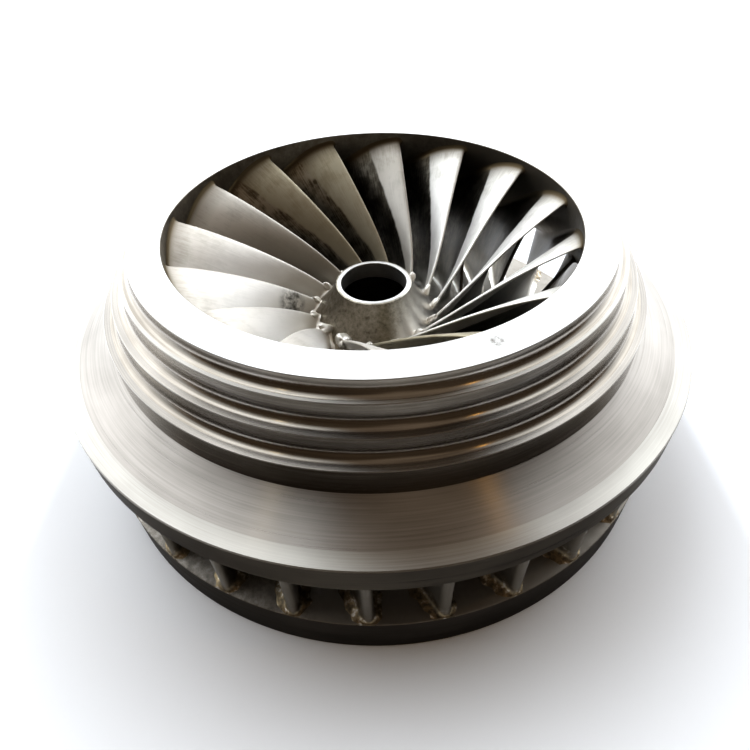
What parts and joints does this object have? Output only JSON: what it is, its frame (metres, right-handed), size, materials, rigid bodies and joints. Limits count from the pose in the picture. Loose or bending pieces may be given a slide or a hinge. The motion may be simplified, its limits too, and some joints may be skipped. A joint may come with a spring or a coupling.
{
  "type": "francis turbine runner",
  "caption": "Water turbine runner with a stepped seal band, a flared hub, and long and short curved blades between crown and band.",
  "frame": {"origin": "centre of the crown's back face, which the runner rests on", "axes": "+Z along the shaft axis, from the crown's back face up to the band's discharge side"},
  "size_m": [1, 1, 0.394],
  "materials": {
    "band": "turned",
    "crown": "turned",
    "long_blade": "ground",
    "short_blade": "ground"
  },
  "bodies": {
    "root": {"crown": "crown", "band": "band", "long_blade_01": "long_blade", "long_blade_02": "long_blade", "long_blade_03": "long_blade", "long_blade_04": "long_blade", "long_blade_05": "long_blade", "long_blade_06": "long_blade", "long_blade_07": "long_blade", "long_blade_08": "long_blade", "long_blade_09": "long_blade", "long_blade_10": "long_blade", "long_blade_11": "long_blade", "long_blade_12": "long_blade", "long_blade_13": "long_blade", "long_blade_14": "long_blade", "long_blade_15": "long_blade", "short_blade_01": "short_blade", "short_blade_02": "short_blade", "short_blade_03": "short_blade", "short_blade_04": "short_blade", "short_blade_05": "short_blade", "short_blade_06": "short_blade", "short_blade_07": "short_blade", "short_blade_08": "short_blade", "short_blade_09": "short_blade", "short_blade_10": "short_blade", "short_blade_11": "short_blade", "short_blade_12": "short_blade", "short_blade_13": "short_blade", "short_blade_14": "short_blade", "short_blade_15": "short_blade"}
  },
  "joints": []
}
